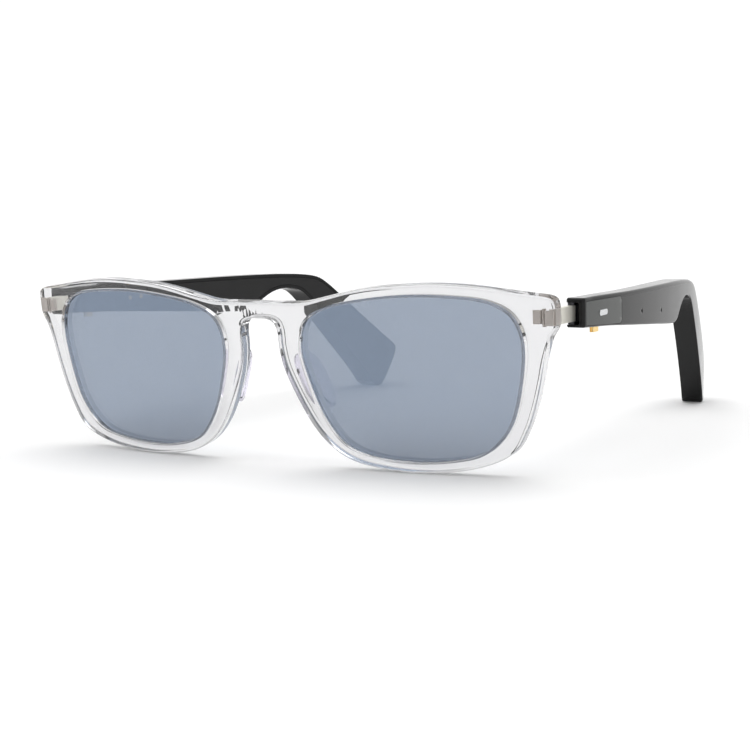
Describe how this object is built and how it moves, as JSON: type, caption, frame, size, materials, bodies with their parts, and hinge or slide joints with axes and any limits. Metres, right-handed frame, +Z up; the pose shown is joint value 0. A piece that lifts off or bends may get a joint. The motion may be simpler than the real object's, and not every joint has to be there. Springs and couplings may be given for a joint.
{
  "type": "smart glasses",
  "caption": "Smart glasses with a clear bowed front, mirrored lenses, black electronic temples on sprung hinges, touch panels and push buttons.",
  "frame": {"origin": "on the floor plane, at the middle of the open glasses' outline", "axes": "+X to the wearer's left, -Y the way the wearer looks, +Z up; the glasses stand open on the rim bottoms and both temple tips"},
  "size_m": [0.1472, 0.1396, 0.0425],
  "materials": {
    "clear_frame": "clear moulded plastic, polished",
    "lens_mirror": "pale blue-grey mirror coating on a tinted lens",
    "clear_pad": "clear soft plastic",
    "hinge_metal": "satin nickel silver",
    "black_metal": "black coated metal",
    "steel": "bright spring steel",
    "black_gloss": "gloss black nylon",
    "black_satin": "satin black nylon",
    "panel_gloss": "very dark grey gloss",
    "mark_silver": "bright metal inlay",
    "flex_film": "amber film",
    "circuit_board": "solder mask",
    "cell_foil": "foil pouch",
    "speaker_can": "moulded",
    "mesh_steel": "fine mesh",
    "microphone_can": "plated can",
    "switch_plastic": "moulded",
    "gold": "satin gold plating",
    "magnet_nickel": "nickel plated"
  },
  "bodies": {
    "front": {"frame_front": "clear_frame", "lens_left": "lens_mirror", "lens_right": "lens_mirror", "nose_pad_left": "clear_pad", "nose_pad_right": "clear_pad", "hinge_plate_left": "hinge_metal", "hinge_plate_right": "hinge_metal"},
    "carrier_left": {"hinge_carrier_left": "black_metal", "pivot_pin_left": "steel", "spring_nut_left": "steel", "hinge_spring_left": "steel"},
    "temple_left": {"end_cap_left": "black_gloss", "spring_housing_left": "black_metal", "temple_shell_left": "black_gloss", "temple_cover_left": "black_satin", "touch_panel_left": "panel_gloss", "touch_mark_left": "mark_silver", "touch_sensor_left": "flex_film", "main_board_left": "circuit_board", "battery_left": "cell_foil", "flex_cable_left": "flex_film", "speaker_left": "speaker_can", "speaker_mesh_left": "mesh_steel", "microphones_left": "microphone_can", "button_switch_left": "switch_plastic", "charge_contacts_left": "gold", "charge_magnets_left": "magnet_nickel"},
    "button_left": {"control_button_left": "gold"},
    "carrier_right": {"hinge_carrier_right": "black_metal", "pivot_pin_right": "steel", "spring_nut_right": "steel", "hinge_spring_right": "steel"},
    "temple_right": {"end_cap_right": "black_gloss", "spring_housing_right": "black_metal", "temple_shell_right": "black_gloss", "temple_cover_right": "black_satin", "touch_panel_right": "panel_gloss", "touch_mark_right": "mark_silver", "touch_sensor_right": "flex_film", "main_board_right": "circuit_board", "battery_right": "cell_foil", "flex_cable_right": "flex_film", "speaker_right": "speaker_can", "speaker_mesh_right": "mesh_steel", "microphones_right": "microphone_can", "button_switch_right": "switch_plastic", "charge_contacts_right": "gold", "charge_magnets_right": "magnet_nickel"},
    "button_right": {"control_button_right": "gold"}
  },
  "joints": [
    {"name": "temple_fold_left", "type": "hinge", "parent": "front", "child": "carrier_left", "pos_m": [0.0701, -0.05155, 0.03521], "axis": [0, 0, 1], "range_deg": [-8, 82]},
    {"name": "hinge_flex_left", "type": "slide", "parent": "carrier_left", "child": "temple_left", "axis": [0, 1, 0], "range_m": [0, 0.0012], "stiffness_N_per_m": 1500, "springref_m": -0.0005},
    {"name": "button_press_left", "type": "slide", "parent": "temple_left", "child": "button_left", "axis": [0, 0, 1], "range_m": [0, 0.0004], "stiffness_N_per_m": 300, "springref_m": -0.0004},
    {"name": "temple_fold_right", "type": "hinge", "parent": "front", "child": "carrier_right", "pos_m": [-0.0701, -0.05155, 0.03521], "axis": [0, 0, -1], "range_deg": [-8, 74]},
    {"name": "hinge_flex_right", "type": "slide", "parent": "carrier_right", "child": "temple_right", "axis": [0, 1, 0], "range_m": [0, 0.0012], "stiffness_N_per_m": 1500, "springref_m": -0.0005},
    {"name": "button_press_right", "type": "slide", "parent": "temple_right", "child": "button_right", "axis": [0, 0, 1], "range_m": [0, 0.0004], "stiffness_N_per_m": 300, "springref_m": -0.0004}
  ]
}
